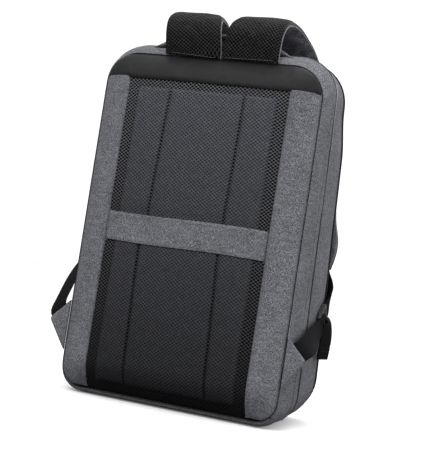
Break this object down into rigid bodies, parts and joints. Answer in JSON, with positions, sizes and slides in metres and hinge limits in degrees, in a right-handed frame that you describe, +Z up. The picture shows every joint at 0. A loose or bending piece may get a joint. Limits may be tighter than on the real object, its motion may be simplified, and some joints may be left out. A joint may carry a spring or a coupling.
{
  "type": "solar backpack",
  "caption": "Grey laptop backpack with padded mesh back, luggage strap, padded shoulder straps thrown forward, zipped front half and a flexible solar panel on the front pocket.",
  "frame": {"origin": "on the floor, under the middle of the base panel", "axes": "+Z up, +Y towards the solar panel on the front, -Y towards the wearer, +X to the right when looking at the wearer's back panel"},
  "size_m": [0.349, 0.2016, 0.5029],
  "materials": {
    "grey_fabric": "matt melange woven polyester",
    "lining_fabric": "matt plain woven lining",
    "air_mesh": "matt open hexagonal air mesh",
    "band_fabric": "smooth tight black polyester",
    "webbing": "ribbed black nylon webbing",
    "piping": "black woven cord cover",
    "foam": "closed-cell foam",
    "board": "matt polyethylene sheet",
    "black_plastic": "satin moulded black",
    "zip_metal": "gunmetal coated",
    "solar_cells": "glossy laminate over dark blue cells"
  },
  "bodies": {
    "carcass": {"side_strip_left": "grey_fabric", "side_strip_right": "grey_fabric", "back_mesh_cover": "air_mesh", "top_band": "band_fabric", "foam_pad_upper_left": "foam", "foam_pad_upper_centre": "foam", "foam_pad_upper_right": "foam", "foam_pad_lower_left": "foam", "foam_pad_lower_centre": "foam", "foam_pad_lower_right": "foam", "luggage_strap": "grey_fabric", "back_frame_board": "board", "rear_piping": "piping", "rear_gusset_right": "grey_fabric", "rear_gusset_left": "grey_fabric", "rear_gusset_top": "grey_fabric", "base_panel": "grey_fabric", "main_zip_rear_tape": "webbing", "base_stiffener": "board", "laptop_sleeve": "lining_fabric", "handle_root_left": "grey_fabric", "handle_root_right": "grey_fabric", "webbing_tab_left": "grey_fabric", "webbing_tab_right": "grey_fabric", "lower_webbing_left": "webbing", "lower_webbing_right": "webbing"},
    "front": {"front_gusset_right": "grey_fabric", "front_gusset_left": "grey_fabric", "front_gusset_top": "grey_fabric", "main_zip_front_tape": "webbing", "front_piping": "piping", "pocket_lining": "lining_fabric", "front_pocket_shell": "grey_fabric", "solar_frame": "black_plastic", "solar_laminate": "solar_cells", "pocket_zip_tape": "webbing", "junction_box": "black_plastic", "charge_controller": "black_plastic", "solar_cable": "webbing", "usb_cable": "webbing", "usb_outlet": "black_plastic"},
    "flap": {"usb_flap": "black_plastic"},
    "pocket_slider": {"pocket_zip_slider": "zip_metal"},
    "pocket_pull": {"pocket_zip_pull": "black_plastic"},
    "slider_left": {"main_zip_slider_left": "zip_metal"},
    "slider_right": {"main_zip_slider_right": "zip_metal"},
    "pull_left": {"main_zip_pull_left": "black_plastic"},
    "pull_right": {"main_zip_pull_right": "black_plastic"},
    "handle": {"carry_handle": "grey_fabric"},
    "strap_left": {"strap_pad_left": "air_mesh", "strap_lining_left": "lining_fabric", "ladder_lock_left": "black_plastic", "webbing_tail_left": "webbing", "buckle_loop_left": "webbing"},
    "strap_right": {"strap_pad_right": "air_mesh", "strap_lining_right": "lining_fabric", "ladder_lock_right": "black_plastic", "webbing_tail_right": "webbing", "buckle_loop_right": "webbing"}
  },
  "joints": [
    {"name": "front_open", "type": "hinge", "parent": "carcass", "child": "front", "pos_m": [0, 0.077, 0.004], "axis": [-1, 0, 0], "range_deg": [0, 1]},
    {"name": "strap_left_lift", "type": "hinge", "parent": "carcass", "child": "strap_left", "pos_m": [-0.03, -0.0736, 0.442], "axis": [1, 0, 0], "range_deg": [0, 12]},
    {"name": "strap_right_lift", "type": "hinge", "parent": "carcass", "child": "strap_right", "pos_m": [0.045, -0.0736, 0.442], "axis": [1, 0, 0], "range_deg": [0, 12]},
    {"name": "handle_tilt", "type": "hinge", "parent": "carcass", "child": "handle", "pos_m": [0, -0.044, 0.464], "axis": [1, 0, 0], "range_deg": [-10, 28]},
    {"name": "zip_left_run", "type": "slide", "parent": "carcass", "child": "slider_left", "axis": [-1, 0, 0], "range_m": [0, 0.045]},
    {"name": "zip_right_run", "type": "slide", "parent": "carcass", "child": "slider_right", "axis": [1, 0, 0], "range_m": [0, 0.045]},
    {"name": "pull_left_tip", "type": "hinge", "parent": "slider_left", "child": "pull_left", "pos_m": [-0.016, -0.02733, 0.4606], "axis": [0, 1, 0], "range_deg": [0, 35]},
    {"name": "pull_right_tip", "type": "hinge", "parent": "slider_right", "child": "pull_right", "pos_m": [0.016, -0.02733, 0.4606], "axis": [0, -1, 0], "range_deg": [0, 35]},
    {"name": "pocket_zip_run", "type": "slide", "parent": "front", "child": "pocket_slider", "axis": [1, 0, 0], "range_m": [-0.09, 0.09]},
    {"name": "pocket_pull_tip", "type": "hinge", "parent": "pocket_slider", "child": "pocket_pull", "pos_m": [0, 0.0593, 0.38625], "axis": [1, 0, 0], "range_deg": [0, 30]},
    {"name": "usb_flap_open", "type": "hinge", "parent": "front", "child": "flap", "pos_m": [-0.1557, 0.0112, 0.355], "axis": [0, 1, 0], "range_deg": [0, 110]}
  ]
}
